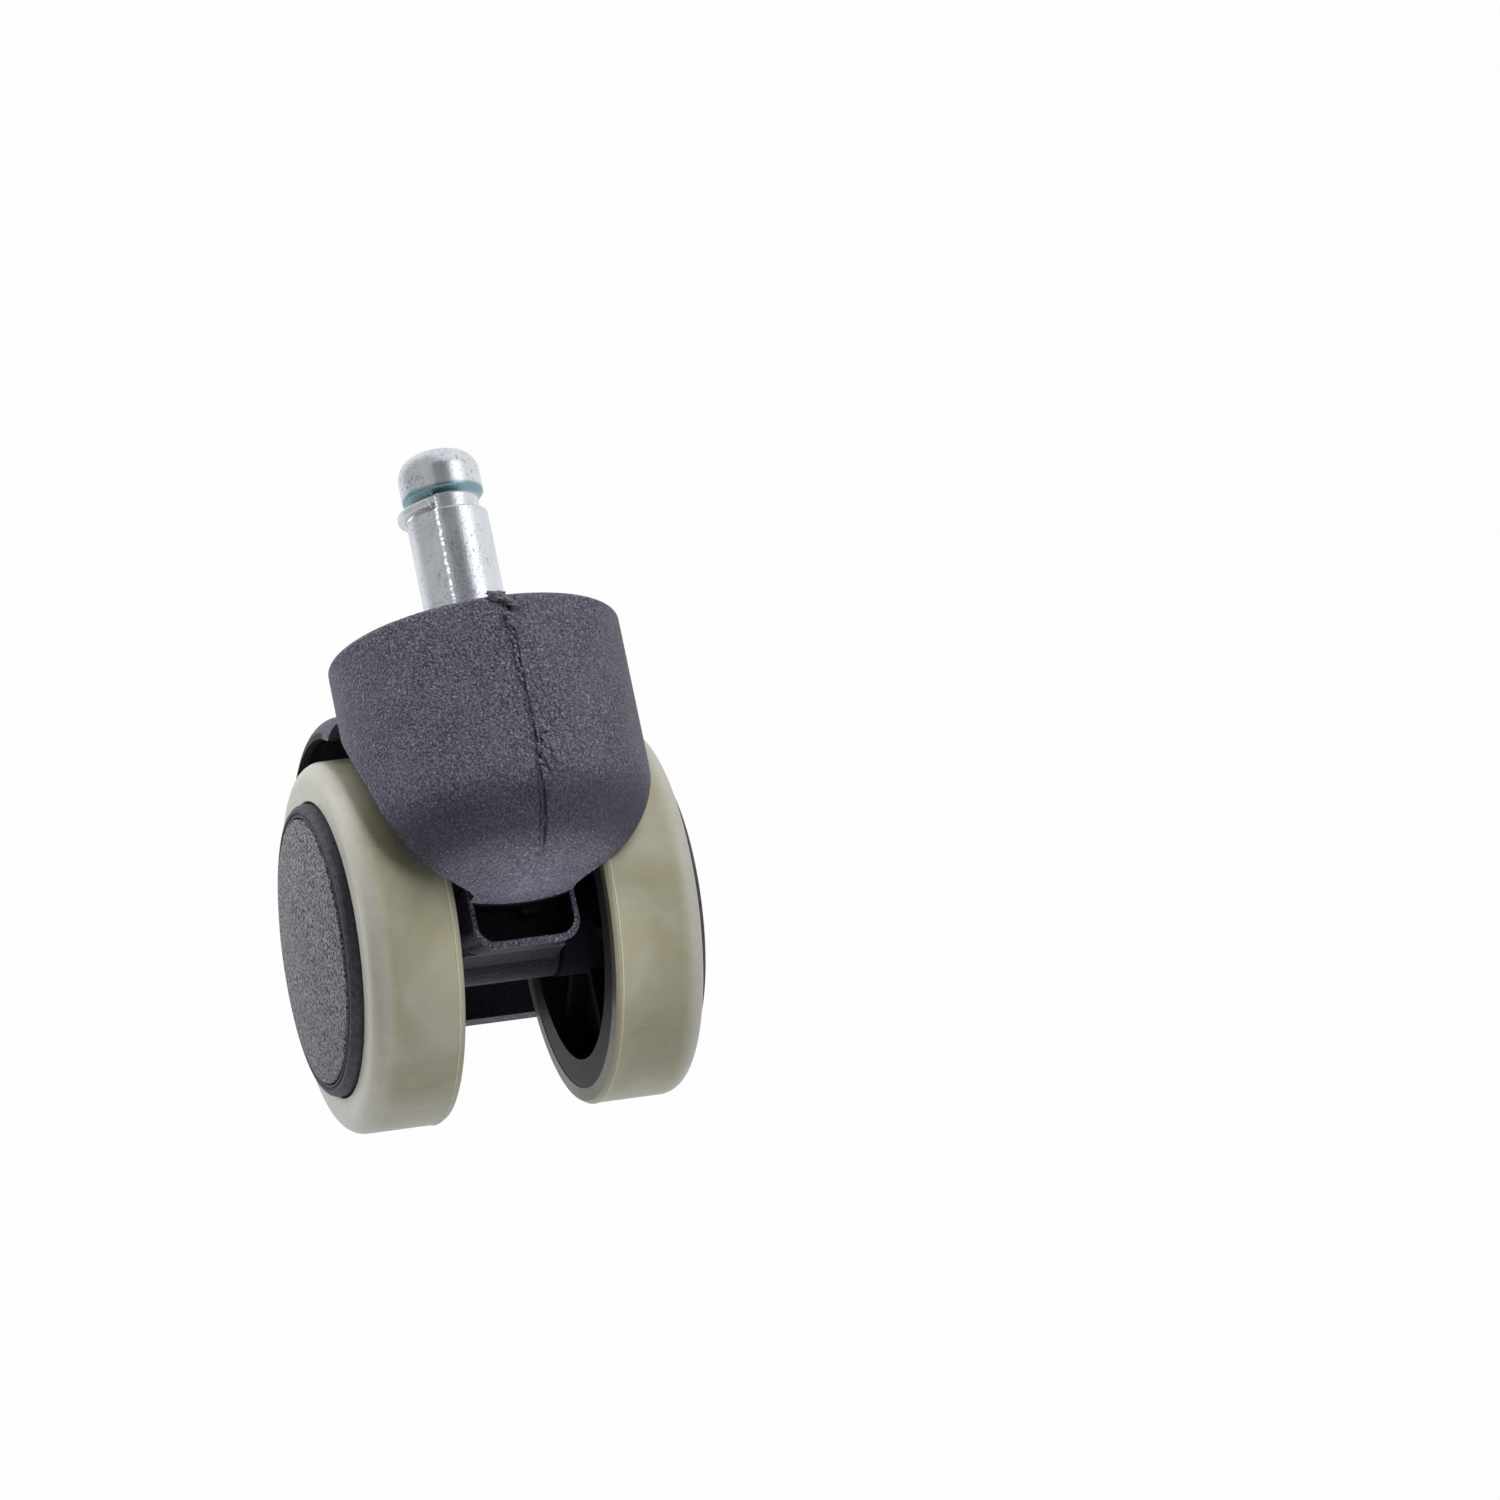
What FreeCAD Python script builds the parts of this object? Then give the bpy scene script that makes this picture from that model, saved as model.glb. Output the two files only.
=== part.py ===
import FreeCAD, Part
import math
import os
import Sketcher

# Twin-wheel furniture caster with a plain stem, in millimetres.
# Frame: origin on the swivel axis at the shoulder plane of the stem collar, +Z up the stem,
# -X towards the trailing wheels, Y along the axle.

os.makedirs("parts", exist_ok=True)
doc = FreeCAD.newDocument("caster")
dims = doc.addObject("Spreadsheet::Sheet", "Dims")
dims.Label = "Dims"

TABLE = [
    ("trail", 20.6, "swivel axis to axle"),
    ("drop", 37.05, "collar shoulder to axle"),
    ("boss_r", 19.65, "outside radius of the swivel boss"),
    ("boss_top", -3.8, "rim plane of the boss"),
    ("boss_low", -38.1, "level the rounding of the boss underside is drawn from"),
    ("boss_edge_r", 12.25714, "radius where that rounding runs into the crowned underside"),
    ("boss_edge_z", -37.00907, "level where that rounding runs into the crowned underside"),
    ("boss_bottom", -39.62465, "lowest level of the crowned underside"),
    ("boss_flat_r", 0.4, "small flat in the middle of the crowned underside"),
    ("boss_round", 12.5, "rounding of the boss underside"),
    ("rim_round", 0.7, "rounding of the boss rim"),
    ("socket_r", 7.5, "bore for the swivel sleeve"),
    ("socket_low", -30.2, "floor of the swivel bore"),
    ("tube_r", 9.7, "outside of the socket tube"),
    ("cup_r", 17.3, "inside of the boss wall"),
    ("cup_low", -24.0, "floor of the annular core"),
    ("rib_w", 1.6, "radial rib thickness"),
    ("well_r", 28.7, "wheel well and hood inside radius"),
    ("well_y", 9.9, "inner side of a wheel well"),
    ("hood_r", 30.7, "hood outside radius"),
    ("hood_y", 20.2, "hood half width"),
    ("hood_round", 3.2, "hood shoulder rounding"),
    ("hood_from", 62.0, "front edge angle of the hood"),
    ("hood_sweep", 126.3, "angle covered by the hood"),
    ("flange_in", 28.0, "lower edge of the hood's sides"),
    ("web_y", 7.0, "half width of the centre web and axle tube"),
    ("plate_x", -10.0, "front face of the web under the boss"),
    ("plate_low", -43.6, "lower edge of the web"),
    ("guard_x", -1.4, "front edge of the U-shaped guard under the boss"),
    ("guard_y", 7.25, "half width of the guard"),
    ("guard_low", -45.6, "lower front edge of the guard"),
    ("axtube_r", 7.3, "outside radius of the axle tube"),
    ("tube_y", 7.7, "half length of the axle tube"),
    ("axle_r", 3.0, "axle radius"),
    ("axle_y", 22.4, "axle half length"),
    ("stem_r", 5.5, "stem radius"),
    ("collar_r", 7.5, "collar radius"),
    ("collar_h", 3.1, "collar thickness"),
    ("groove_low", 14.3, "lower side of the grip ring groove"),
    ("groove_top", 16.4, "upper side of the grip ring groove"),
    ("neck_r", 4.6, "groove radius"),
    ("head_low", 17.1, "lower edge of the head"),
    ("head_top", 23.6, "top of the head"),
    ("head_round", 3.1, "rounding of the head"),
    ("head_edge", 22.3, "height of the head before its crown"),
    ("shank_low", -29.2, "bottom of the shank"),
    ("ring_r", 5.72, "installed outside radius of the grip ring"),
    ("sleeve_low", -24.8, "lower end of the swivel sleeve"),
    ("sleeve_bore", 5.55, "running bore of the swivel sleeve"),
    ("tread_r", 25.0, "wheel radius"),
    ("tread_round", 5.0, "outer shoulder of the tread"),
    ("tread_y", 23.4, "outer side of the tread"),
    ("rim_y", 10.4, "inner face of a wheel"),
    ("rim_in", 19.0, "inside of the rim shell"),
    ("rim_face", 24.5, "outside of the inner rim flange"),
    ("rim_seat", 22.3, "seat of the tread on the rim"),
    ("hub_r", 7.5, "hub outside radius"),
    ("hub_y0", 8.3, "inner end of the hub"),
    ("hub_y1", 20.4, "outer end of the hub"),
    ("bush_r", 4.5, "wheel bushing outside radius"),
    ("bush_bore", 3.05, "running bore of the wheel bushing"),
    ("lip_r", 19.75, "outer end of the rim, inside of the tread shoulder"),
    ("cap_r", 17.74, "cap radius"),
    ("cap_edge", 24.7, "cap edge"),
    ("cap_top", 25.9, "crown of the cap"),
]


class Q:
    """A number that also carries the spreadsheet expression it came from."""

    def __init__(self, v, t):
        self.v = float(v)
        self.t = t

    def _o(self, o):
        return o if isinstance(o, Q) else Q(o, repr(float(o)))

    def __add__(self, o):
        o = self._o(o)
        return Q(self.v + o.v, "(%s + %s)" % (self.t, o.t))

    def __sub__(self, o):
        o = self._o(o)
        return Q(self.v - o.v, "(%s - %s)" % (self.t, o.t))

    def __mul__(self, o):
        o = self._o(o)
        return Q(self.v * o.v, "(%s * %s)" % (self.t, o.t))

    def __neg__(self):
        return Q(-self.v, "(0 - %s)" % self.t)


def q(v):
    return v if isinstance(v, Q) else Q(v, repr(float(v)))


D = {}
for n, (name, value, note) in enumerate(TABLE, start=2):
    dims.set("A%d" % n, name)
    dims.set("B%d" % n, str(value))
    dims.set("C%d" % n, note)
    dims.setAlias("B%d" % n, name)
    D[name] = Q(value, "Dims.%s" % name)
dims.set("A1", "name")
dims.set("B1", "mm or degrees")
dims.set("C1", "what it is")
doc.recompute()


class NS:
    pass


d = NS()
for k in D:
    setattr(d, k, D[k])


def bind(obj, prop, val):
    val = q(val)
    obj.setExpression(prop, val.t)


def place(obj, x, y, z, axis=None, angle=0.0):
    """Put obj at x, y, z; each coordinate follows the sheet."""
    rot = FreeCAD.Rotation(FreeCAD.Vector(*(axis or (0, 0, 1))), angle)
    x, y, z = q(x), q(y), q(z)
    obj.Placement = FreeCAD.Placement(FreeCAD.Vector(x.v, y.v, z.v), rot)
    bind(obj, "Placement.Base.x", x)
    bind(obj, "Placement.Base.y", y)
    bind(obj, "Placement.Base.z", z)


def cyl(label, r, h, x, y, z, axis=None, angle=0.0):
    o = doc.addObject("Part::Cylinder", label)
    o.Label = label
    bind(o, "Radius", r)
    bind(o, "Height", h)
    o.Radius = q(r).v
    o.Height = q(h).v
    place(o, x, y, z, axis, angle)
    return o


def ycyl(label, r, x, y0, y1, z):
    """Cylinder along +Y from y0 to y1."""
    y0, y1 = q(y0), q(y1)
    return cyl(label, r, y1 - y0, x, y0, z, (1, 0, 0), -90.0)


def box(label, x0, x1, y0, y1, z0, z1):
    o = doc.addObject("Part::Box", label)
    o.Label = label
    for prop, a, b in (("Length", x0, x1), ("Width", y0, y1), ("Height", z0, z1)):
        bind(o, prop, q(b) - q(a))
        setattr(o, prop, q(b).v - q(a).v)
    place(o, x0, y0, z0)
    return o


def fuse(label, shapes):
    o = doc.addObject("Part::MultiFuse", label)
    o.Label = label
    o.Shapes = shapes
    o.Refine = True
    return o


def common(label, shapes):
    o = doc.addObject("Part::MultiCommon", label)
    o.Label = label
    o.Shapes = shapes
    return o


def cut(label, base, tool):
    o = doc.addObject("Part::Cut", label)
    o.Label = label
    o.Base = base
    o.Tool = tool
    o.Refine = True
    return o


def mirror(label, src):
    o = doc.addObject("Part::Mirroring", label)
    o.Label = label
    o.Source = src
    o.Normal = FreeCAD.Vector(0, 1, 0)
    o.Base = FreeCAD.Vector(0, 0, 0)
    return o


def plane(body, role):
    for f in body.Origin.OriginFeatures:
        if getattr(f, "Role", "") == role:
            return f
    raise RuntimeError("no origin feature " + role)


def sketch(body, label, role, pts, arcs=()):
    """Closed profile through pts. arcs lists the segments that are arcs centred on the sketch's Y axis,
    or maps a segment to the centre of its arc."""
    sk = body.newObject("Sketcher::SketchObject", label)
    sk.Label = label
    sk.AttachmentSupport = [(plane(body, role), "")]
    sk.MapMode = "FlatFace"
    doc.recompute()
    pts = [(q(a), q(b)) for a, b in pts]
    n = len(pts)
    ends, radii = [], {}
    for i in range(n):
        a, b = pts[i], pts[(i + 1) % n]
        pa = FreeCAD.Vector(a[0].v, a[1].v, 0)
        pb = FreeCAD.Vector(b[0].v, b[1].v, 0)
        if i in arcs:
            if isinstance(arcs, dict):
                cx, cy = arcs[i]
            else:
                # centre on the Y axis, equidistant from both ends
                cx, cy = 0.0, ((pa.x ** 2 + pa.y ** 2) - (pb.x ** 2 + pb.y ** 2)) / (2 * (pa.y - pb.y))
            c = FreeCAD.Vector(cx, cy, 0)
            r = (pa - c).Length
            a0 = math.atan2(pa.y - cy, pa.x - cx)
            a1 = math.atan2(pb.y - cy, pb.x - cx)
            circle = Part.Circle(c, FreeCAD.Vector(0, 0, 1), r)
            if (a1 - a0) % (2 * math.pi) < math.pi:
                g = sk.addGeometry(Part.ArcOfCircle(circle, a0, a1), False)
                ends.append((g, 1, 2))
            else:
                g = sk.addGeometry(Part.ArcOfCircle(circle, a1, a0), False)
                ends.append((g, 2, 1))
            radii[i] = r
        else:
            g = sk.addGeometry(Part.LineSegment(pa, pb), False)
            ends.append((g, 1, 2))
    for i in range(n):
        g, s, e = ends[i]
        g2, s2, e2 = ends[(i + 1) % n]
        sk.addConstraint(Sketcher.Constraint("Coincident", g, e, g2, s2))
    for i in range(n):
        g, s, e = ends[i]
        if i in arcs and isinstance(arcs, dict):
            sk.addConstraint(Sketcher.Constraint("Radius", g, radii[i]))
        elif i in arcs:
            sk.addConstraint(Sketcher.Constraint("PointOnObject", g, 3, -2))
        for kind, val in (("DistanceX", pts[i][0]), ("DistanceY", pts[i][1])):
            if abs(val.v) < 1e-9:
                ax = -2 if kind == "DistanceX" else -1
                sk.addConstraint(Sketcher.Constraint("PointOnObject", g, s, ax))
                continue
            c = sk.addConstraint(Sketcher.Constraint(kind, -1, 1, g, s, val.v))
            sk.setExpression("Constraints[%d]" % c, val.t)
    return sk


def body_at(label, x=0, y=0, z=0):
    b = doc.addObject("PartDesign::Body", label)
    b.Label = label
    doc.recompute()
    place(b, x, y, z)
    return b


def revolve(body, sk, label, angle=360.0):
    r = body.newObject("PartDesign::Revolution", label)
    r.Label = label
    r.Profile = sk
    r.ReferenceAxis = (sk, ["V_Axis"])
    r.Angle = angle
    if angle < 360.0:
        r.Midplane = True
    sk.Visibility = False
    doc.recompute()
    body.Tip = r
    return r


def rings(shape, r, at, axis):
    """Names of the circular edges of radius r lying at coordinate `at` along the axis."""
    out = []
    for i, e in enumerate(shape.Edges, start=1):
        if e.Degenerated:
            continue
        c = e.Curve
        if isinstance(c, Part.Circle) and abs(c.Radius - r) < 1e-3:
            if abs(getattr(c.Center, axis) - at) < 1e-3:
                out.append(i)
    if not out:
        raise RuntimeError("no ring r=%g at %g" % (r, at))
    return out


def pd_fillet(body, feat, where, radius, label, axis):
    f = body.newObject("PartDesign::Fillet", label)
    f.Label = label
    shape = feat.Shape
    names = []
    for r, at in where:
        names += ["Edge%d" % i for i in rings(shape, r, at, axis)]
    f.Base = (feat, names)
    f.Radius = q(radius).v
    bind(f, "Radius", radius)
    doc.recompute()
    body.Tip = f
    return f


def part_fillet(label, base, edges, radius):
    f = doc.addObject("Part::Fillet", label)
    f.Label = label
    f.Base = base
    f.Edges = [(i, radius, radius) for i in edges]
    doc.recompute()
    return f


nodes = {}
ax, az = -d.trail, -d.drop

# ---------------------------------------------------------------- housing
boss_solid = body_at("boss")
boss_sk = sketch(boss_solid, "boss_section", "XZ_Plane", [
    (0, d.boss_top), (d.boss_r, d.boss_top), (d.boss_r, d.boss_low + d.boss_round),
    (d.boss_edge_r, d.boss_edge_z), (d.boss_flat_r, d.boss_bottom), (0, d.boss_bottom)],
    arcs={2: (d.boss_r.v - d.boss_round.v, d.boss_low.v + d.boss_round.v), 3: (0.0, -9.62732)})
boss_turned = revolve(boss_solid, boss_sk, "boss_turned")
pd_fillet(boss_solid, boss_turned, [(d.boss_r.v, d.boss_top.v)], d.rim_round, "boss_rim", "z")
doc.recompute()

# wheel wells: their radius about the axle grows outwards, so the boss ends in one smooth edge
WELL = [(24.8, 9.9), (25.4, 10.9), (26.0, 12.1), (27.2, 14.6), (28.2, 16.7)]
UNDER = [(21.8, 7.0), (23.2, 7.8), (24.3, 9.2), (24.8, 9.9)]


def well_body(label, prof):
    bb = body_at(label, ax, 0, az)
    pts = [(q(0), q(prof[0][1]))] + [(q(r), q(y)) for r, y in prof] + [(q(0), q(prof[-1][1]))]
    s = sketch(bb, label + "_section", "XY_Plane", pts)
    revolve(bb, s, label + "_turned")
    return bb


well_r = well_body("well_r", WELL + [(d.well_r, 17.8), (d.well_r, 30.0)])
under_turned = well_body("undercut_turned", UNDER)
under_limit = box("undercut_limit", ax - 30, q(12), q(6.5), q(10.5), az - 30, q(-33.8))
under_r = common("undercut_r", [under_turned, under_limit])
rear_turned = ycyl("well_rear_turned", d.well_r, ax, d.well_y, q(30), az)
rear_limit = box("well_rear_limit", ax - 30, q(-1.5), q(9), q(31), az - 30, az + 30)
rear_r = common("well_rear_r", [rear_turned, rear_limit])
hub_clear_r = ycyl("hub_clearance_r", d.hub_r + 0.8, ax, d.tube_y + 0.1, d.well_y + 0.2, az)
well_pair = fuse("wheel_wells", [hub_clear_r, mirror("hub_clearance_l", hub_clear_r),
                                 well_r, under_r, rear_r, mirror("well_l", well_r),
                                 mirror("undercut_l", under_r), mirror("well_rear_l", rear_r)])
boss_cut = cut("boss_with_wells", boss_solid, well_pair)

# hood: an arched shell about the axle with rounded shoulders and a thin flange down each side
hood = body_at("hood_shell")
place(hood, ax, 0, az, (0, 1, 0), -(d.hood_from.v + d.hood_sweep.v / 2))
doc.recompute()
oy, iy = d.hood_y - 0.04, d.hood_y - 1.203
hood_sk = sketch(hood, "hood_section", "XY_Plane", [
    (d.flange_in, -oy), (d.hood_r, -d.hood_y + d.hood_round), (d.hood_r, d.hood_y - d.hood_round),
    (d.flange_in, oy), (d.flange_in, iy), (d.well_r, d.hood_y - d.hood_round),
    (d.well_r, -d.hood_y + d.hood_round), (d.flange_in, -iy)],
    arcs={0: (27.5, -17.0), 2: (27.5, 17.0), 4: (25.5, 17.0), 6: (25.5, -17.0)})
hood_turned = revolve(hood, hood_sk, "hood_turned", d.hood_sweep.v)
bind(hood_turned, "Angle", d.hood_sweep)
doc.recompute()

# centre web between the wheels, and the tube that holds the axle
web = body_at("centre_web")
web_sk = sketch(web, "web_outline", "XZ_Plane", [
    (d.plate_x, d.boss_low + 2.0),
    (d.plate_x, d.plate_low),
    (q(-16.6), d.plate_low + 0.3),
    (ax - 7.0, az),
    (ax - 11.4, az + 27.0),
    (ax + 8.6, az + 27.7),
    (q(0.0), az + 20.0),
    (q(0.0), d.boss_low + 2.0),
])
web_pad = web.newObject("PartDesign::Pad", "web_pad")
web_pad.Profile = web_sk
web_pad.Midplane = True
web_pad.Length = d.web_y.v * 2
bind(web_pad, "Length", d.web_y * 2)
web_sk.Visibility = False
doc.recompute()
web.Tip = web_pad
axtube = ycyl("axle_tube", d.axtube_r, ax, -d.tube_y, d.tube_y, az)

# U-shaped guard under the boss, deeper at the front and open there
def guard_body(label, pts, half, rnd):
    """Outline in the XZ plane padded to both sides, with its lower long edges rounded."""
    bb = body_at(label)
    sk_ = sketch(bb, label + "_outline", "XZ_Plane", pts)
    pad = bb.newObject("PartDesign::Pad", label + "_pad")
    pad.Profile = sk_
    pad.Midplane = True
    pad.Length = q(half).v * 2
    bind(pad, "Length", q(half) * 2)
    sk_.Visibility = False
    doc.recompute()
    bb.Tip = pad
    names = []
    (x0, z0), (x1, z1) = [(q(u).v, q(v).v) for u, v in pts[1:3]]
    for i, e in enumerate(pad.Shape.Edges, start=1):
        ends = [v.Point for v in e.Vertexes]
        if len(ends) == 2 and abs(ends[0].y - ends[1].y) < 1e-6:
            got = sorted((round(w.x, 3), round(w.z, 3)) for w in ends)
            if got == sorted([(round(x0, 3), round(z0, 3)), (round(x1, 3), round(z1, 3))]):
                names.append("Edge%d" % i)
    if len(names) != 2:
        raise RuntimeError("%s: %d lower edges" % (label, len(names)))
    f = bb.newObject("PartDesign::Fillet", label + "_rounded")
    f.Base = (pad, names)
    f.Radius = rnd
    doc.recompute()
    bb.Tip = f
    return bb


guard_out = guard_body("guard_block", [
    (d.guard_x, d.boss_low + 1.5), (d.guard_x, d.guard_low), (d.plate_x - 0.3, d.plate_low),
    (d.plate_x - 0.3, d.boss_low + 1.5)], d.guard_y, 2.9)
guard_in = guard_body("guard_hollow", [
    (d.guard_x + 2, d.boss_low + 1), (d.guard_x + 2, d.guard_low + 0.5), (d.plate_x + 1.2, d.plate_low + 0.95),
    (d.plate_x + 1.2, d.boss_low + 1)],
    d.guard_y - 0.65, 2.3)
gate_stub = box("gate_stub", q(-8.2), q(-6.0), q(0.9), q(3.3), q(-39.9), d.boss_low + 2.5)
guard_keep = fuse("guard_keep", [gate_stub, boss_solid])
guard_core = cut("guard_core", guard_in, guard_keep)

body_all = fuse("housing_solid", [boss_cut, hood, web, axtube, guard_out])

# cores: swivel bore, annular core of the boss with radial ribs, rear cores
socket = cyl("swivel_bore", d.socket_r, q(6) - d.socket_low, 0, 0, d.socket_low)
core_out = cyl("core_outer", d.cup_r, q(6) - d.cup_low, 0, 0, d.cup_low)
core_in = cyl("core_inner", d.tube_r, q(8) - d.cup_low, 0, 0, d.cup_low - 1)
keep = [core_in]
for sgn, tag in ((1, "r"), (-1, "l")):
    y0, y1 = (d.well_y - 2, q(30)) if sgn > 0 else (q(-30), -d.well_y + 2)
    keep.append(ycyl("well_wall_" + tag, d.hood_r, ax, y0, y1, az))
for i in range(4):
    rib = doc.addObject("Part::Box", "boss_rib_%d" % i)
    rib.Label = "boss_rib_%d" % i
    rib.Length, rib.Width, rib.Height = 2 * d.cup_r.v + 4, d.rib_w.v, -d.cup_low.v - 7.6
    bind(rib, "Length", d.cup_r * 2 + 4)
    bind(rib, "Width", d.rib_w)
    bind(rib, "Height", -d.cup_low - 7.6)
    ang = math.radians(22.5 + 45 * i)
    # centred on the swivel axis: shift back by half length and half width along the turned axes
    L, W = d.cup_r + 2, d.rib_w * 0.5
    place(rib, -(L * math.cos(ang)) + W * math.sin(ang), -(L * math.sin(ang)) - W * math.cos(ang),
          d.cup_low, (0, 0, 1), math.degrees(ang))
    keep.append(rib)
keep_all = fuse("core_keep", keep)
core = cut("annular_core", core_out, keep_all)

rear = []
for i, y0 in enumerate((-5.2, 0.6)):
    rear.append(box("rear_core_%d" % i, ax - 14.0, ax - 1.5, y0, y0 + 4.6, az + 9.2, az + 24.5))
axle_bore = ycyl("axle_bore", d.axle_r, ax, -d.tube_y - 1, d.tube_y + 1, az)
tools = fuse("housing_cores", [socket, core, axle_bore, guard_core] + rear)
housing = cut("housing", body_all, tools)
nodes["housing"] = housing

# ---------------------------------------------------------------- stem and swivel pieces
b = body_at("stem")
sk = sketch(b, "stem_outline", "XZ_Plane", [
    (0, d.shank_low), (d.stem_r - 1.2, d.shank_low), (d.stem_r, d.shank_low + 1.2),
    (d.stem_r, d.sleeve_low - 1.5), (d.neck_r, d.sleeve_low - 1.5), (d.neck_r, d.sleeve_low - 0.3),
    (d.stem_r, d.sleeve_low - 0.3), (d.stem_r, -d.collar_h), (d.collar_r, -d.collar_h),
    (d.collar_r, 0), (d.stem_r, 0), (d.stem_r, d.groove_low - 0.25), (d.stem_r - 0.25, d.groove_low),
    (d.neck_r, d.groove_low), (d.neck_r, d.groove_top), (d.head_low * 0 + 4.85, d.groove_top),
    (d.stem_r, d.head_low), (d.stem_r, d.head_edge), (0, d.head_top)], arcs=(17,))
r = revolve(b, sk, "stem_turned")
f = pd_fillet(b, r, [(d.stem_r.v, d.head_edge.v)], d.head_round, "head_dome", "z")
nodes["stem"] = b

b = body_at("grip_ring")
sk = sketch(b, "grip_ring_section", "XZ_Plane", [
    (d.neck_r + 0.02, d.groove_low + 0.1), (d.ring_r - 0.35, d.groove_low + 0.1),
    (d.ring_r, d.groove_low + 0.6), (d.ring_r, d.groove_top - 0.7), (d.ring_r - 0.35, d.groove_top - 0.2),
    (d.neck_r + 0.02, d.groove_top - 0.2)])
revolve(b, sk, "grip_ring_turned", 318.0)
nodes["grip_ring"] = b

b = body_at("stem_clip")
sk = sketch(b, "stem_clip_section", "XZ_Plane", [
    (d.neck_r + 0.02, d.sleeve_low - 1.4), (d.socket_r - 0.45, d.sleeve_low - 1.4),
    (d.socket_r - 0.45, d.sleeve_low - 0.4), (d.neck_r + 0.02, d.sleeve_low - 0.4)])
revolve(b, sk, "stem_clip_turned", 316.0)
nodes["stem_clip"] = b

b = body_at("swivel_sleeve")
sk = sketch(b, "sleeve_section", "XZ_Plane", [
    (d.sleeve_bore, d.sleeve_low), (d.socket_r, d.sleeve_low), (d.socket_r, d.boss_top),
    (d.tube_r - 0.3, d.boss_top), (d.tube_r - 0.3, d.boss_top + 0.1 - 0.1 + 0.15),
    (d.sleeve_bore, d.boss_top + 0.15)])
revolve(b, sk, "sleeve_turned")
nodes["swivel_sleeve"] = b

b = body_at("thrust_washer")
sk = sketch(b, "thrust_washer_section", "XZ_Plane", [
    (d.sleeve_bore + 0.1, d.boss_top + 0.15), (d.tube_r - 0.5, d.boss_top + 0.15),
    (d.tube_r - 0.5, d.boss_top + 0.4), (d.sleeve_bore + 0.1, d.boss_top + 0.4)])
revolve(b, sk, "thrust_washer_turned")
nodes["thrust_washer"] = b

# ---------------------------------------------------------------- axle pieces
b = body_at("axle", ax, 0, az)
sk = sketch(b, "axle_section", "XY_Plane", [
    (0, -d.axle_y), (d.axle_r - 0.6, -d.axle_y), (d.axle_r, -d.axle_y + 0.6),
    (d.axle_r, d.axle_y - 0.6), (d.axle_r - 0.6, d.axle_y), (0, d.axle_y)])
revolve(b, sk, "axle_turned")
nodes["axle"] = b


def wheel_body(label, pts, arcs=()):
    bb = body_at(label, ax, 0, az)
    s = sketch(bb, label + "_section", "XY_Plane", pts, arcs)
    return bb, revolve(bb, s, label + "_turned")


washer, _ = wheel_body("right_washer", [
    (d.axle_r + 0.05, d.tube_y), (d.hub_r - 1.6, d.tube_y),
    (d.hub_r - 1.6, d.tube_y + 0.5), (d.axle_r + 0.05, d.tube_y + 0.5)])
clip, _ = wheel_body("right_axle_clip", [
    (d.axle_r, d.hub_y1 + 0.5), (d.axle_r + 1.3, d.hub_y1 + 0.35), (d.hub_r - 0.9, d.hub_y1 + 0.35),
    (d.hub_r - 0.9, d.hub_y1 + 0.8), (d.axle_r + 1.3, d.hub_y1 + 0.8), (d.axle_r, d.hub_y1 + 1.15)])

# ---------------------------------------------------------------- wheel pieces
rim_turned, _ = wheel_body("right_rim_turned", [
    (d.bush_r, d.hub_y0), (d.hub_r, d.hub_y0), (d.hub_r, d.rim_y + 4.4), (d.rim_in, d.rim_y + 4.4),
    (d.rim_in, d.rim_y), (d.rim_face, d.rim_y), (d.rim_face, d.rim_y + 1.4), (d.rim_seat, d.rim_y + 1.4),
    (d.rim_seat, d.tread_y - 4.4), (d.lip_r, d.tread_y - 1.8), (d.cap_r - 0.8, d.tread_y - 1.8),
    (d.cap_r - 0.8, d.rim_y + 6.2),
    (d.hub_r, d.rim_y + 6.2), (d.hub_r, d.hub_y1), (d.bush_r, d.hub_y1)])
ribs = []
for i in range(6):
    ang = math.radians(60 * i + 30)
    rib = doc.addObject("Part::Box", "rim_rib_%d" % i)
    rib.Label = "rim_rib_%d" % i
    rib.Length, rib.Width, rib.Height = 12.5, 2.6, 1.5
    bind(rib, "Length", d.rim_in - d.hub_r + 0.6)
    bind(rib, "Width", q(2.6))
    bind(rib, "Height", q(1.5))
    # local X runs outwards from the hub, local Y along the axle, local Z is the rib thickness
    r0 = d.hub_r - 0.3
    cx, cz = math.cos(ang), math.sin(ang)
    px = ax + r0 * cx + q(0.75 * cz)
    pz = az + r0 * cz - q(0.75 * cx)
    place(rib, px, d.rim_y + 1.9, pz, (0, 1, 0), -math.degrees(ang))
    ribs.append(rib)
rim = fuse("right_rim", [rim_turned] + ribs)

tread, tr = wheel_body("right_tread", [
    (d.rim_face, d.rim_y), (d.rim_face + 0.15, d.rim_y), (d.tread_r, d.rim_y + 0.6), (d.tread_r, d.tread_y),
    (d.lip_r + 0.12, d.tread_y), (d.lip_r + 0.12, d.tread_y - 1.8), (d.rim_seat, d.tread_y - 4.28),
    (d.rim_seat, d.rim_y + 1.4), (d.rim_face, d.rim_y + 1.4)])
pd_fillet(tread, tr, [(d.tread_r.v, d.tread_y.v)], d.tread_round, "tread_shoulder", "y")

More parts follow.
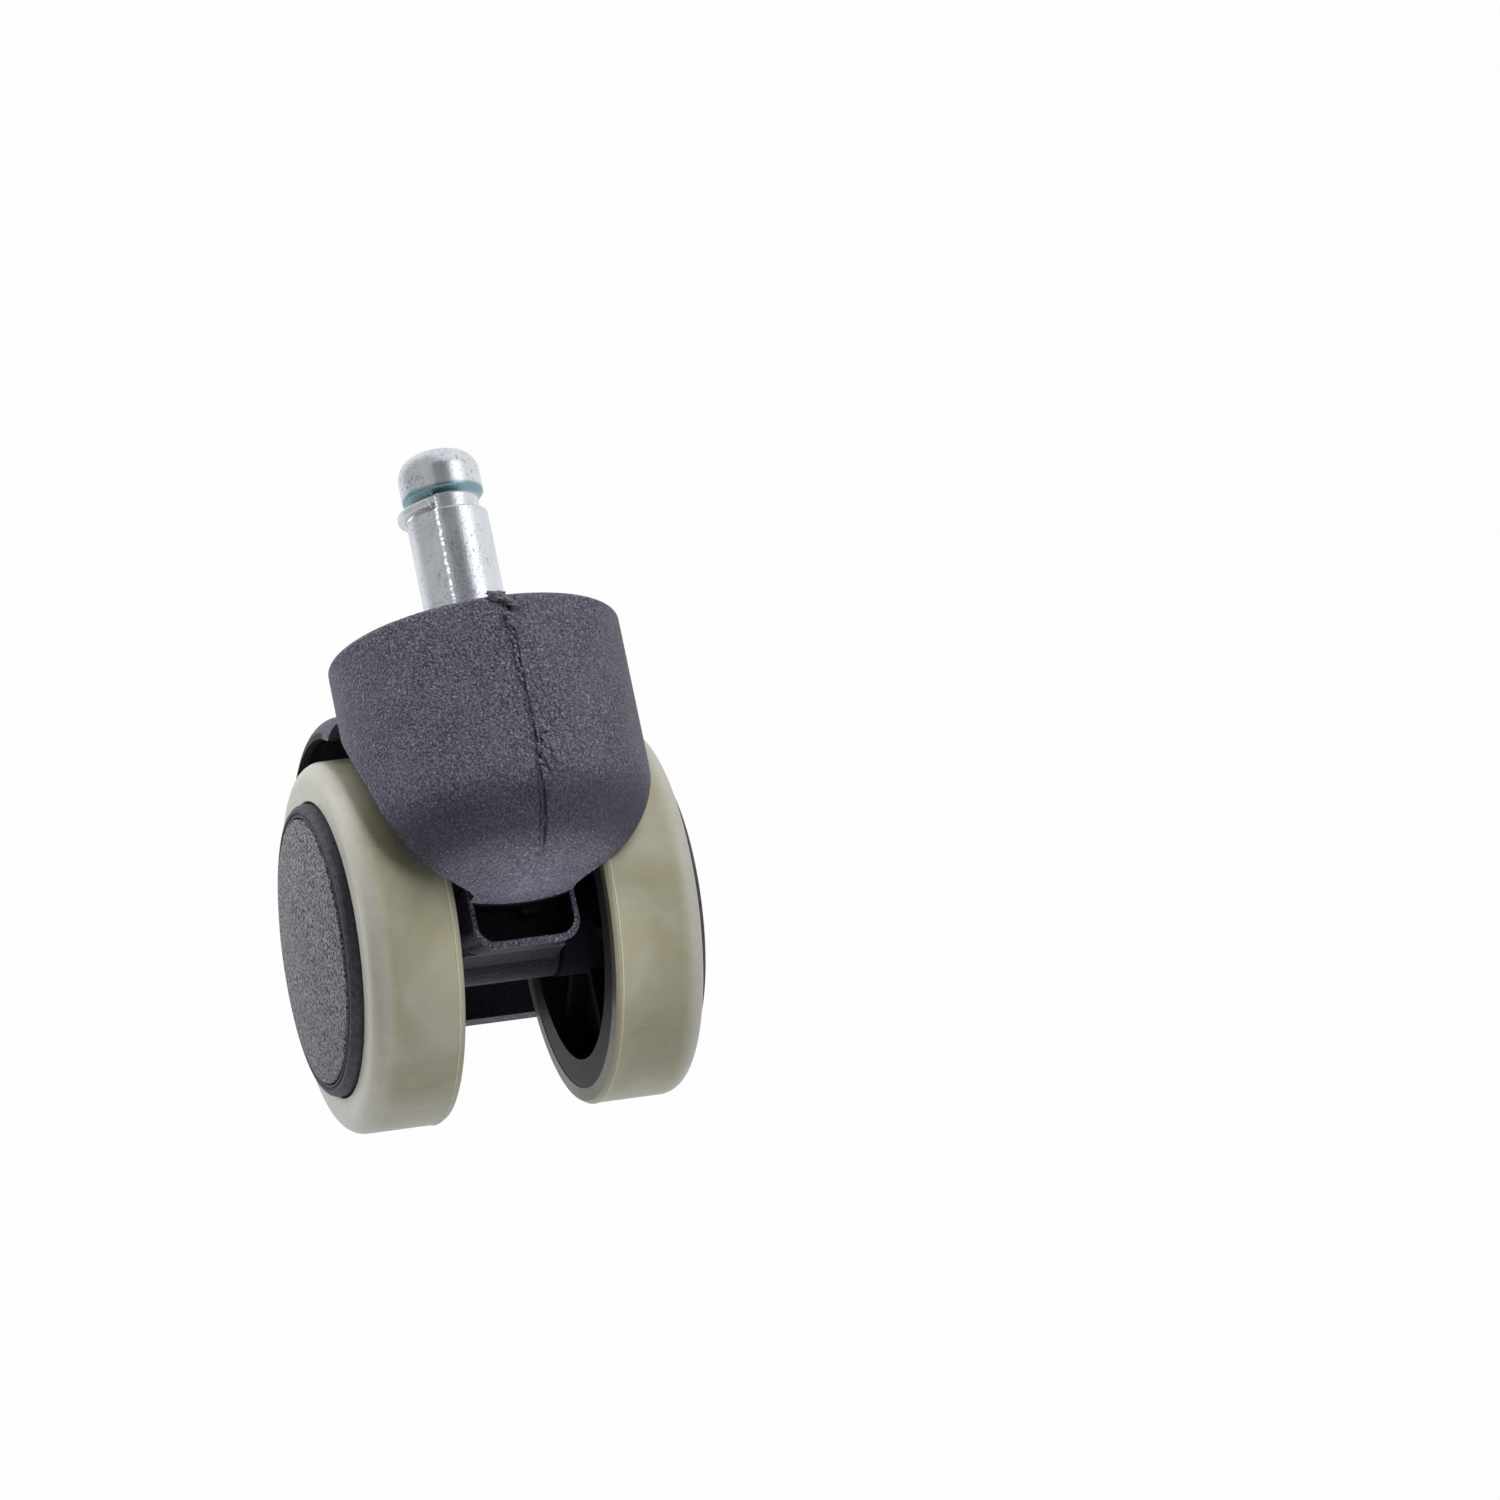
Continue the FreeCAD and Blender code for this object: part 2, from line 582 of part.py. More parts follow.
cap_ring, _ = wheel_body("right_cap_ring", [
    (d.cap_r + 0.12, d.tread_y - 1.8), (d.lip_r - 0.1, d.tread_y - 1.8), (d.lip_r - 0.1, d.tread_y - 0.1),
    (d.lip_r - 0.45, d.tread_y + 0.7), (d.lip_r - 1.1, d.tread_y + 1.0), (d.cap_r + 0.12, d.tread_y + 0.85)])
cap, _ = wheel_body("right_cap", [
    (0, d.cap_top - 1.6), (d.cap_r - 1.9, d.cap_edge - 1.5), (d.cap_r - 1.9, d.tread_y - 1.8),
    (d.cap_r, d.tread_y - 1.8), (d.cap_r, d.cap_edge), (0, d.cap_top)], arcs=(0, 4))
bush, _ = wheel_body("right_bushing", [
    (d.bush_bore, d.hub_y0), (d.bush_r, d.hub_y0), (d.bush_r, d.hub_y1), (d.bush_bore, d.hub_y1)])

for o, name in ((washer, "washer"), (clip, "axle_clip"), (rim, "rim"), (tread, "tread"),
                (cap, "cap"), (cap_ring, "cap_ring"), (bush, "bushing")):
    nodes["right_" + name] = o
    nodes["left_" + name] = mirror("left_" + name, o)

doc.recompute()
bad = []
for o in doc.Objects:
    if "Invalid" in o.State or "Error" in o.State:
        bad.append("%s %s" % (o.Label, o.State))
for name, o in nodes.items():
    if o.Shape.isNull() or not o.Shape.isValid():
        bad.append("%s has no valid shape" % name)
if bad:
    raise RuntimeError("; ".join(bad))
for name in sorted(nodes):
    s = nodes[name].Shape
    if len(s.Solids) != 1:
        raise RuntimeError("%s has %d solids" % (name, len(s.Solids)))
    s.exportStep("parts/%s.step" % name)
    bb = s.BoundBox
    print("%-18s %9.1f mm3  x %.2f %.2f  y %.2f %.2f  z %.2f %.2f" % (
        name, s.Volume, bb.XMin, bb.XMax, bb.YMin, bb.YMax, bb.ZMin, bb.ZMax))
print(len(nodes), "parts")
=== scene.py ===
import math

import bpy
import bmesh
from mathutils import Matrix, Vector, noise as mnoise


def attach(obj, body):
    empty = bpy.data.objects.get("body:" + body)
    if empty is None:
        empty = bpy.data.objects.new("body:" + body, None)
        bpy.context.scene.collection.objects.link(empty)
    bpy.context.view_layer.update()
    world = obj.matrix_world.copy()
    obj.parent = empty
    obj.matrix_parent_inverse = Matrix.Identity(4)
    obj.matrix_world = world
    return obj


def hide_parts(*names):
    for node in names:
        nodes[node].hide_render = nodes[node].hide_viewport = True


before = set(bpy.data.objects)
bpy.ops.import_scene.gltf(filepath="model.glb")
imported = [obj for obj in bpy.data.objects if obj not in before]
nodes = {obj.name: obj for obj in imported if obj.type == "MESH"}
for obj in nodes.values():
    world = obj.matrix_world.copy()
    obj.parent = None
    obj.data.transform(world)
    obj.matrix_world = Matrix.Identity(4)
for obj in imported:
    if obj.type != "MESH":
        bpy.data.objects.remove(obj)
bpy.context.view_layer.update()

MM = 0.001
AX, AZ = -20.6, -37.05          # axle, mm, in the part's frame
scene = bpy.context.scene


# ------------------------------------------------------------------ node helpers
def nd(nt, kind, ins=None, **attrs):
    n = nt.nodes.new(kind)
    for k, v in attrs.items():
        setattr(n, k, v)
    for k, v in (ins or {}).items():
        s = n.inputs[k]
        if isinstance(v, bpy.types.NodeSocket):
            nt.links.new(v, s)
        else:
            s.default_value = v
    return n


class Mat:
    """A node material working in millimetres of object space."""

    def __init__(self, name):
        self.m = bpy.data.materials.new(name)
        self.m.use_nodes = True
        self.nt = self.m.node_tree
        self.nt.nodes.clear()
        self.out = nd(self.nt, "ShaderNodeOutputMaterial")
        self.bsdf = nd(self.nt, "ShaderNodeBsdfPrincipled")
        self.nt.links.new(self.bsdf.outputs[0], self.out.inputs[0])
        tc = nd(self.nt, "ShaderNodeTexCoord")
        self.pos = nd(self.nt, "ShaderNodeVectorMath", {0: tc.outputs["Object"], "Scale": 1000.0},
                      operation="SCALE").outputs[0]
        self._xyz = None

    def xyz(self):
        if self._xyz is None:
            s = nd(self.nt, "ShaderNodeSeparateXYZ", {0: self.pos})
            self._xyz = s.outputs
        return self._xyz

    def math(self, op, a, b=0.0, c=0.0, clamp=False):
        n = nd(self.nt, "ShaderNodeMath", {0: a, 1: b, 2: c}, operation=op)
        n.use_clamp = clamp
        return n.outputs[0]

    def noise(self, scale, detail=2.0, rough=0.5, vec=None, dist=0.0, out=0):
        n = nd(self.nt, "ShaderNodeTexNoise",
               {"Vector": vec or self.pos, "Scale": scale, "Detail": detail, "Roughness": rough,
                "Distortion": dist})
        return n.outputs[out]

    def voronoi(self, scale, feature="F1", vec=None, rnd=1.0):
        n = nd(self.nt, "ShaderNodeTexVoronoi", {"Vector": vec or self.pos, "Scale": scale, "Randomness": rnd},
               feature=feature)
        return n.outputs["Distance"]

    def remap(self, v, a, b, c=0.0, d=1.0, smooth=False):
        n = nd(self.nt, "ShaderNodeMapRange", {0: v, 1: a, 2: b, 3: c, 4: d})
        n.clamp = True
        if smooth:
            n.interpolation_type = "SMOOTHSTEP"
        return n.outputs[0]

    def mixc(self, f, a, b, mode="MIX"):
        n = self.nt.nodes.new("ShaderNodeMix")
        n.data_type = "RGBA"
        n.blend_type = mode
        for idx, v in ((0, f), (6, a), (7, b)):
            s = n.inputs[idx]
            if isinstance(v, bpy.types.NodeSocket):
                self.nt.links.new(v, s)
            else:
                s.default_value = v
        return n.outputs[2]

    def scaled(self, x, y, z, off=(0, 0, 0)):
        n = nd(self.nt, "ShaderNodeMapping", {"Vector": self.pos, "Scale": (x, y, z), "Location": off})
        return n.outputs[0]

    def bump(self, height, dist_mm, strength=1.0, normal=None):
        ins = {"Height": height, "Distance": dist_mm * MM, "Strength": strength}
        if normal is not None:
            ins["Normal"] = normal
        return nd(self.nt, "ShaderNodeBump", ins).outputs[0]

    def set(self, **ins):
        for k, v in ins.items():
            key = k.replace("_", " ")
            s = self.bsdf.inputs[key]
            if isinstance(v, bpy.types.NodeSocket):
                self.nt.links.new(v, s)
            else:
                s.default_value = v
        return self.m


def lin(r, g, b):
    """sRGB bytes to a linear colour."""
    out = []
    for c in (r, g, b):
        c /= 255.0
        out.append(c / 12.92 if c <= 0.04045 else ((c + 0.055) / 1.055) ** 2.4)
    return (out[0], out[1], out[2], 1.0)


# ------------------------------------------------------------------ mesh helpers
def fillet(points, radii, seg=6):
    """Closed polygon with each corner rounded by its radius (mm)."""
    out = []
    n = len(points)
    for i, (px, py) in enumerate(points):
        r = radii[i] if isinstance(radii, (list, tuple)) else radii
        a, b, c = Vector(points[i - 1]), Vector((px, py)), Vector(points[(i + 1) % n])
        u, v = (a - b), (c - b)
        if r <= 0 or u.length < 1e-6 or v.length < 1e-6:
            out.append((px, py))
            continue
        u.normalize()
        v.normalize()
        ang = u.angle(v)
        if ang > math.radians(176):
            out.append((px, py))
            continue
        t = r / math.tan(ang / 2)
        t = min(t, 0.49 * (a - b).length, 0.49 * (c - b).length)
        r = t * math.tan(ang / 2)
        bis = (u + v).normalized()
        ctr = b + bis * (r / math.sin(ang / 2))
        s, e = b + u * t, b + v * t
        a0 = math.atan2(s.y - ctr.y, s.x - ctr.x)
        a1 = math.atan2(e.y - ctr.y, e.x - ctr.x)
        while a1 - a0 > math.pi:
            a1 -= 2 * math.pi
        while a1 - a0 < -math.pi:
            a1 += 2 * math.pi
        for k in range(seg + 1):
            w = a0 + (a1 - a0) * k / seg
            out.append((ctr.x + r * math.cos(w), ctr.y + r * math.sin(w)))
    return out


def lathe(name, prof, axis="Y", seg=160, a0=0.0, a1=360.0, side=1.0, centre=None, wobble=None):
    """Revolves a closed (radius, along) profile in mm about the axle (Y) or the swivel axis (Z)."""
    bm = bmesh.new()
    full = abs(a1 - a0 - 360.0) < 1e-6
    steps = seg if full else seg + 1
    rings = []
    cx, cz = (AX, AZ) if axis == "Y" else (0.0, 0.0)
    if centre:
        cx, cz = centre
    for i in range(steps):
        t = math.radians(a0 + (a1 - a0) * i / seg)
        ring = []
        for j, (r, h) in enumerate(prof):
            if wobble:
                r, h = wobble(t, r, h)
            if axis == "Y":
                co = (cx + r * math.cos(t), side * h, cz + r * math.sin(t))
            else:
                co = (cx + r * math.cos(t), cz + r * math.sin(t), h)
            ring.append(bm.verts.new([c * MM for c in co]))
        rings.append(ring)
    m = len(prof)
    for i in range(steps if full else steps - 1):
        A, B = rings[i], rings[(i + 1) % steps]
        for j in range(m):
            k = (j + 1) % m
            if prof[j][0] < 1e-6 and prof[k][0] < 1e-6:
                continue
            bm.faces.new([A[j], A[k], B[k], B[j]])
    if not full:
        bm.faces.new(rings[0])
        bm.faces.new(list(reversed(rings[-1])))
    bmesh.ops.remove_doubles(bm, verts=bm.verts, dist=1e-7)
    bmesh.ops.recalc_face_normals(bm, faces=bm.faces)
    me = bpy.data.meshes.new(name)
    bm.to_mesh(me)
    bm.free()
    for p in me.polygons:
        p.use_smooth = True
    ob = bpy.data.objects.new(name, me)
    scene.collection.objects.link(ob)
    wn = ob.modifiers.new("weighted", "WEIGHTED_NORMAL")
    wn.keep_sharp = True
    return ob


def dress(ob, mat):
    if len(ob.material_slots) == 0:
        ob.data.materials.append(mat)
    for s in ob.material_slots:
        s.material = mat


# ------------------------------------------------------------------ materials
def nylon(name="nylon_pebbled", flash=False):
    """Pebbled black nylon outside; inside the hood, wells, guard and web it is painted plainer and near-black as
    shade.
    """
    m = Mat(name)
    x, y, z = m.xyz()
    grain = m.noise(2.8, 2.0, 0.60)
    fine = m.noise(4.6, 1.0, 0.5)
    pebble_glint_and_bump = m.noise(3.1, 1.0, 0.5, vec=m.scaled(1, 1, 1, (7.3, 2.1, 4.4)))
    big = m.noise(0.13, 2.0, 0.5)
    c = m.mixc(m.remap(grain, 0.40, 0.62), lin(40, 38, 49), lin(86, 84, 96))
    # painted highlight: lighter flecks stand in for glints on the pebbles; the same noise also raises the pebbles in
    # the bump
    c = m.mixc(m.remap(pebble_glint_and_bump, 0.60, 0.72, 0.0, 0.8), c, lin(128, 126, 135))
    c = m.mixc(m.remap(big, 0.35, 0.7, 0.0, 0.25), c, lin(92, 90, 98))
    # painted shade: a darker band round the bowl where its wall turns under
    bowl_shade_band = m.math("MULTIPLY", m.remap(z, -37.4, -34.2, 0.0, 1.0, True), m.remap(z, -31.5, -26.5, 1.0, 0.0, True))
    bowl_shade_band = m.math("MULTIPLY", bowl_shade_band, m.remap(x, -3.0, 2.0))
    c = m.mixc(m.math("MULTIPLY", bowl_shade_band, 0.62), c, lin(30, 28, 40))
    # painted shade: near-black, plainer colour inside the hood, wells and guard and on the web between the wheels
    dx = m.math("ADD", x, -AX)
    dz = m.math("ADD", z, -AZ)
    rad = m.math("SQRT", m.math("ADD", m.math("MULTIPLY", dx, dx), m.math("MULTIPLY", dz, dz)))
    hood_in_shade = m.math("MULTIPLY", m.remap(rad, 28.74, 28.9, 1.0, 0.0), m.remap(x, -10.6, -10.2, 1.0, 0.0))
    ay = m.math("ABSOLUTE", y)
    pocket_shade = m.math("MULTIPLY", m.remap(ay, 6.62, 6.72, 1.0, 0.0), m.remap(x, -1.62, -1.5, 1.0, 0.0))
    pocket_shade = m.math("MULTIPLY", pocket_shade, m.math("MULTIPLY", m.remap(x, -9.6, -9.3), m.remap(z, -38.15, -38.05, 1.0, 1.0)))
    pocket_shade = m.math("MULTIPLY", pocket_shade, m.remap(z, -35.9, -35.5, 1.0, 0.0))
    keep = m.math("MULTIPLY", m.remap(z, -38.16, -38.06), m.remap(x, -4.9, -4.75))
    pocket_shade = m.math("MULTIPLY", pocket_shade, m.math("SUBTRACT", 1.0, keep))
    inner = m.math("MAXIMUM", hood_in_shade, pocket_shade)
    c = m.mixc(m.math("MULTIPLY", inner, 0.94), c, lin(14, 14, 24))
    # painted shade: near-black round the axle tube between the wheels
    back = m.math("MULTIPLY", m.remap(x, -10.9, -10.4, 1.0, 0.0), m.math("MULTIPLY", m.remap(rad, 21.4, 21.7, 1.0, 0.0), m.remap(ay, 9.6, 9.8, 1.0, 0.0)))
    c = m.mixc(m.math("MULTIPLY", back, 0.92), c, lin(12, 12, 22))
    # parting line down the front of the boss: a ragged dark line painted as the ridge's shadow on its +y side, with a
    # matching shallow groove in the bump
    wob = m.math("MULTIPLY", m.math("SUBTRACT", m.noise(0.7, 2.0, 0.6), 0.5), 0.3)
    d = m.math("ABSOLUTE", m.math("ADD", m.math("ADD", y, -0.52), wob))
    front = m.math("MULTIPLY", m.remap(x, 4.0, 8.0), m.remap(z, -37.6, -36.0))
    line = m.math("MULTIPLY", m.remap(d, 0.08, 0.26, 1.0, 0.0, True), front)
    if flash:
        line = m.math("MULTIPLY", line, 0.0)
        c = m.mixc(0.35, c, lin(120, 118, 126))
    ridge_groove_and_shadow = m.math("MULTIPLY", line, m.remap(m.noise(0.35, 1.0, 0.5), 0.36, 0.6, 0.45, 1.0))
    c = m.mixc(m.math("MULTIPLY", ridge_groove_and_shadow, 0.92), c, lin(12, 10, 16))
    h = m.math("ADD", m.math("MULTIPLY", grain, 1.0), m.math("MULTIPLY", fine, 0.35))
    h = m.math("ADD", h, m.math("MULTIPLY", pebble_glint_and_bump, 0.5))
    h = m.math("SUBTRACT", h, m.math("MULTIPLY", ridge_groove_and_shadow, 1.2))
    return m.set(Base_Color=c, Roughness=m.remap(grain, 0.3, 0.7, 0.46, 0.62), Specular_IOR_Level=0.26,
                 Normal=m.bump(h, 0.30, 1.0))


def tread_pu():
    m = Mat("tread_polyurethane")
    cloud = m.noise(0.085, 3.0, 0.55, dist=0.8)
    warm = m.noise(0.14, 2.0, 0.5, vec=m.scaled(1, 1, 1, (31, 12, 5)))
    fine = m.noise(0.9, 2.0, 0.5)
    dust = m.noise(2.8, 1.0, 0.5)
    c = m.mixc(m.remap(cloud, 0.36, 0.64), lin(117, 114, 94), lin(135, 133, 120))
    c = m.mixc(m.remap(warm, 0.45, 0.7, 0.0, 0.5), c, lin(128, 123, 98))
    x, y, z = m.xyz()
    ayt = m.math("ABSOLUTE", y)
    # painted highlight: a pale line along the moulding witness bead
    witness_bead_highlight = m.math("MULTIPLY", m.remap(ayt, 11.04, 11.10), m.remap(ayt, 11.28, 11.36, 1.0, 0.0))
    c = m.mixc(m.math("MULTIPLY", witness_bead_highlight, 0.45), c, lin(178, 175, 154))
    # painted shade: darker band on the thin skirt at the tread's inner edge
    skirt_shade = m.remap(ayt, 10.4, 10.9, 1.0, 0.0, True)
    c = m.mixc(m.math("MULTIPLY", skirt_shade, 0.45), c, lin(104, 101, 82))
    # painted light: lighter grey on the rounded outer shoulder
    shoulder_light = m.remap(ayt, 19.2, 22.0, 0.0, 1.0, True)
    c = m.mixc(m.math("MULTIPLY", shoulder_light, 0.8), c, lin(156, 154, 147))
    c = m.mixc(m.remap(fine, 0.3, 0.75, 0.0, 0.22), c, lin(124, 121, 103))
    c = m.mixc(m.remap(dust, 0.66, 0.8, 0.0, 0.35), c, lin(112, 108, 92))
    lump = m.noise(0.22, 2.0, 0.5, dist=1.2)
    h = m.math("ADD", m.math("MULTIPLY", lump, 1.0), m.math("MULTIPLY", fine, 0.10))
    return m.set(Base_Color=c, Roughness=m.remap(cloud, 0.3, 0.7, 0.26, 0.40), Specular_IOR_Level=0.42, Normal=m.bump(h, 0.16, 0.4))


def cap_plastic():
    m = Mat("cap_spark_grain")
    grain = m.noise(2.7, 2.0, 0.6)
    soft = m.noise(0.2, 2.0, 0.5)
    c = m.mixc(m.remap(grain, 0.40, 0.60), lin(44, 42, 47), lin(120, 118, 121))
    c = m.mixc(m.remap(soft, 0.35, 0.65, 0.0, 0.2), c, lin(60, 58, 65))
    return m.set(Base_Color=c, Roughness=0.55, Specular_IOR_Level=0.06, Normal=m.bump(grain, 0.18, 0.9))


def cap_ring_plastic():
    m = Mat("cap_ring_smooth")
    n = m.noise(1.4, 2.0, 0.6)
    c = m.mixc(m.remap(n, 0.3, 0.7), lin(44, 43, 50), lin(64, 63, 69))
    return m.set(Base_Color=c, Roughness=0.5, Specular_IOR_Level=0.12, Normal=m.bump(n, 0.03, 0.5))


def rim_plastic():
    """Charcoal rim; the recess round the hub is painted near-black as shade, the flange is lightly speckled."""
    m = Mat("rim_nylon")
    x, y, z = m.xyz()
    n = m.noise(2.2, 2.5, 0.62)
    dx = m.math("ADD", x, -AX)
    dz = m.math("ADD", z, -AZ)
    rad = m.math("SQRT", m.math("ADD", m.math("MULTIPLY", dx, dx), m.math("MULTIPLY", dz, dz)))
    c = m.mixc(m.remap(n, 0.34, 0.66), lin(26, 26, 34), lin(66, 65, 68))
    c = m.mixc(m.remap(rad, 21.6, 22.8, 0.0, 0.5, True), c, lin(92, 91, 82))
    # painted shade: near-black in the deep recess round the hub, also made rough
    recess_shade = m.remap(rad, 18.95, 19.05, 1.0, 0.0)
    c = m.mixc(m.math("MULTIPLY", recess_shade, 0.97), c, lin(8, 8, 18))
    rough = m.math("MAXIMUM", m.remap(n, 0.3, 0.7, 0.45, 0.6), m.math("MULTIPLY", recess_shade, 0.95))
    return m.set(Base_Color=c, Roughness=rough, Specular_IOR_Level=0.22,
                 Normal=m.bump(n, 0.08, 0.7))


def zinc(name="zinc_plate", tint=(0.91, 0.92, 0.93), rough=0.12, seam=True):
    m = Mat(name)
    x, y, z = m.xyz()
    cloud = m.noise(0.35, 4.0, 0.65, vec=m.scaled(1, 1, 0.45))
    speck = m.noise(3.0, 3.0, 0.75)
    pit = m.noise(2.2, 1.0, 0.5, vec=m.scaled(1, 1, 0.8, (5, 9, 2)))
    drawn = m.noise(1.0, 2.0, 0.6, vec=m.scaled(5.0, 5.0, 0.12))
    c = m.mixc(m.remap(cloud, 0.38, 0.62), tuple(t * 0.90 for t in tint) + (1.0,), tint + (1.0,))
    patchy = m.remap(m.noise(0.22, 2.0, 0.5, vec=m.scaled(1, 1, 0.6, (9, 4, 1))), 0.42, 0.60, 0.05, 0.75)
    c = m.mixc(m.math("MULTIPLY", m.remap(speck, 0.50, 0.60), patchy), c, (tint[0] * 0.42, tint[1] * 0.50, tint[2] * 0.70, 1))
    group = m.remap(m.noise(0.28, 1.0, 0.5, vec=m.scaled(1, 1, 1, (3, 8, 6))), 0.42, 0.58)
    c = m.mixc(m.math("MULTIPLY", m.remap(pit, 0.60, 0.70, 0.0, 0.6), group), c, (0.20, 0.22, 0.27, 1))
    h = m.math("ADD", m.math("MULTIPLY", speck, 0.6), m.math("MULTIPLY", drawn, 0.4))
    metal = 1.0
    if seam:
        # passivation tint pooled under the head, and the drawn seam down one side of the shank
        pool = m.math("MULTIPLY", m.remap(z, 16.2, 16.5), m.remap(z, 17.3, 17.9, 1.0, 0.0, True))
        c = m.mixc(m.math("MULTIPLY", pool, 0.85), c, (0.17, 0.33, 0.38, 1))
        ang = m.math("ARCTAN2", y, x)
        wob = m.math("MULTIPLY", m.math("SUBTRACT", m.noise(1.3, 1.0, 0.5, vec=m.scaled(0.0, 0.0, 1.0)), 0.5), 0.11)
        off = m.math("ABSOLUTE", m.math("ADD", m.math("ADD", ang, 0.485), wob))
        line = m.math("MULTIPLY", m.remap(off, 0.02, 0.055, 1.0, 0.0, True), m.remap(z, 16.0, 16.4, 1.0, 0.0))
        beads = m.remap(m.noise(2.4, 1.0, 0.5, vec=m.scaled(0.2, 0.2, 1.0)), 0.42, 0.58, 0.25, 1.0)
        line = m.math("MULTIPLY", line, beads)
        c = m.mixc(m.math("MULTIPLY", line, 0.9), c, (0.96, 0.97, 0.90, 1))
        h = m.math("ADD", h, m.math("MULTIPLY", line, 2.0))
        metal = m.math("SUBTRACT", 1.0, m.math("MULTIPLY", line, 0.85))
    r = m.math("ADD", m.remap(cloud, 0.3, 0.7, rough, rough + 0.10), m.remap(speck, 0.4, 0.7, 0.0, 0.10))
    return m.set(Base_Color=c, Metallic=metal, Roughness=r, Normal=m.bump(h, 0.03, 0.8))


def acetal(name="acetal_bearing", a=(206, 203, 192), b=(222, 220, 212)):
    m = Mat(name)
    n = m.noise(0.6, 2.0, 0.5)
    c = m.mixc(m.remap(n, 0.3, 0.7), lin(*a), lin(*b))
    return m.set(Base_Color=c, Roughness=0.35, Normal=m.bump(n, 0.02, 0.4))


M_NYLON = nylon()
M_FLASH = nylon("nylon_flash", True)
M_TREAD = tread_pu()
M_CAP = cap_plastic()
M_RIM = rim_plastic()
M_RING = cap_ring_plastic()
M_ZINC = zinc()
M_ZINC_PLAIN = zinc("zinc_plate_plain", rough=0.18, seam=False)
M_SPRING = zinc("spring_steel", (0.74, 0.75, 0.76), 0.18, seam=False)
M_ACETAL = acetal()
M_WASHER = acetal("acetal_dark", (34, 33, 38), (48, 47, 52))

dress(nodes["housing"], M_NYLON)
for n in ("axle", "thrust_washer"):
    dress(nodes[n], M_ZINC_PLAIN)
for n in ("stem_clip", "left_axle_clip", "right_axle_clip"):
    dress(nodes[n], M_SPRING)
for n in ("swivel_sleeve", "left_bushing", "right_bushing"):
    dress(nodes[n], M_ACETAL)
for n in ("left_washer", "right_washer"):
    dress(nodes[n], M_WASHER)
for s in ("left", "right"):
    dress(nodes[s + "_rim"], M_RIM)


# ------------------------------------------------------------------ turned and moulded pieces
def place_piece(ob, mat, body, slot, *stands_for):
    ob.data.materials.append(mat)
    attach(ob, body)
    if stands_for:
        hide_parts(*stands_for)
    return ob


# stem: shank, collar, shaft, ring groove, chamfered head with a low crown
stem_pts = [(0.0, -29.2), (4.3, -29.2), (5.5, -28.0), (5.5, -26.3), (4.6, -26.3), (4.6, -25.1), (5.5, -25.1),
            (5.5, -3.1), (7.5, -3.1), (7.5, 0.0), (5.5, 0.0), (5.5, 14.25), (4.6, 14.3), (4.6, 16.4),
            (4.85, 16.4), (5.5, 17.15)]
stem_rad = [0, 0.4, 0.5, 0.1, 0.1, 0.1, 0.1, 0.3, 0.35, 0.35, 0.5, 0.3, 0.12, 0.12, 0.08, 0.3]
crown = []
turn = math.atan2(8.866, 2.4)
for k in range(0, 17):                       # rounded edge of the head, radius 3.1
    t = turn * k / 16.0
    crown.append((2.4 + 3.1 * math.cos(t), 20.18 + 3.1 * math.sin(t)))
for k in range(1, 9):                        # crown of the head, arc centred on the axis
    t = turn + (math.pi / 2 - turn) * k / 8.0
    crown.append((max(0.0, 12.285 * math.cos(t)), 11.315 + 12.285 * math.sin(t)))
crown[-1] = (0.0, 23.6)
pts = stem_pts + crown
prof = fillet(pts, stem_rad + [0] * len(crown), 8)
prof = [p for p in prof if p[0] >= 0]
stem = lathe("stem_turned", prof, axis="Z", seg=192)
place_piece(stem, M_ZINC, "stem", "zinc_steel", "stem")

# split grip ring in its free state: slightly larger than its groove and pushed to one side
ring_prof = fillet([(5.05, 14.45), (5.95, 14.45), (6.12, 14.7), (6.12, 15.35), (5.95, 15.65), (5.05, 15.65)], 0.2, 4)
ring = lathe("grip_ring_sprung", ring_prof, axis="Z", seg=150, a0=104.0, a1=331.0, centre=(-0.10, -0.42))
place_piece(ring, M_ZINC_PLAIN, "stem", "spring_steel", "grip_ring")

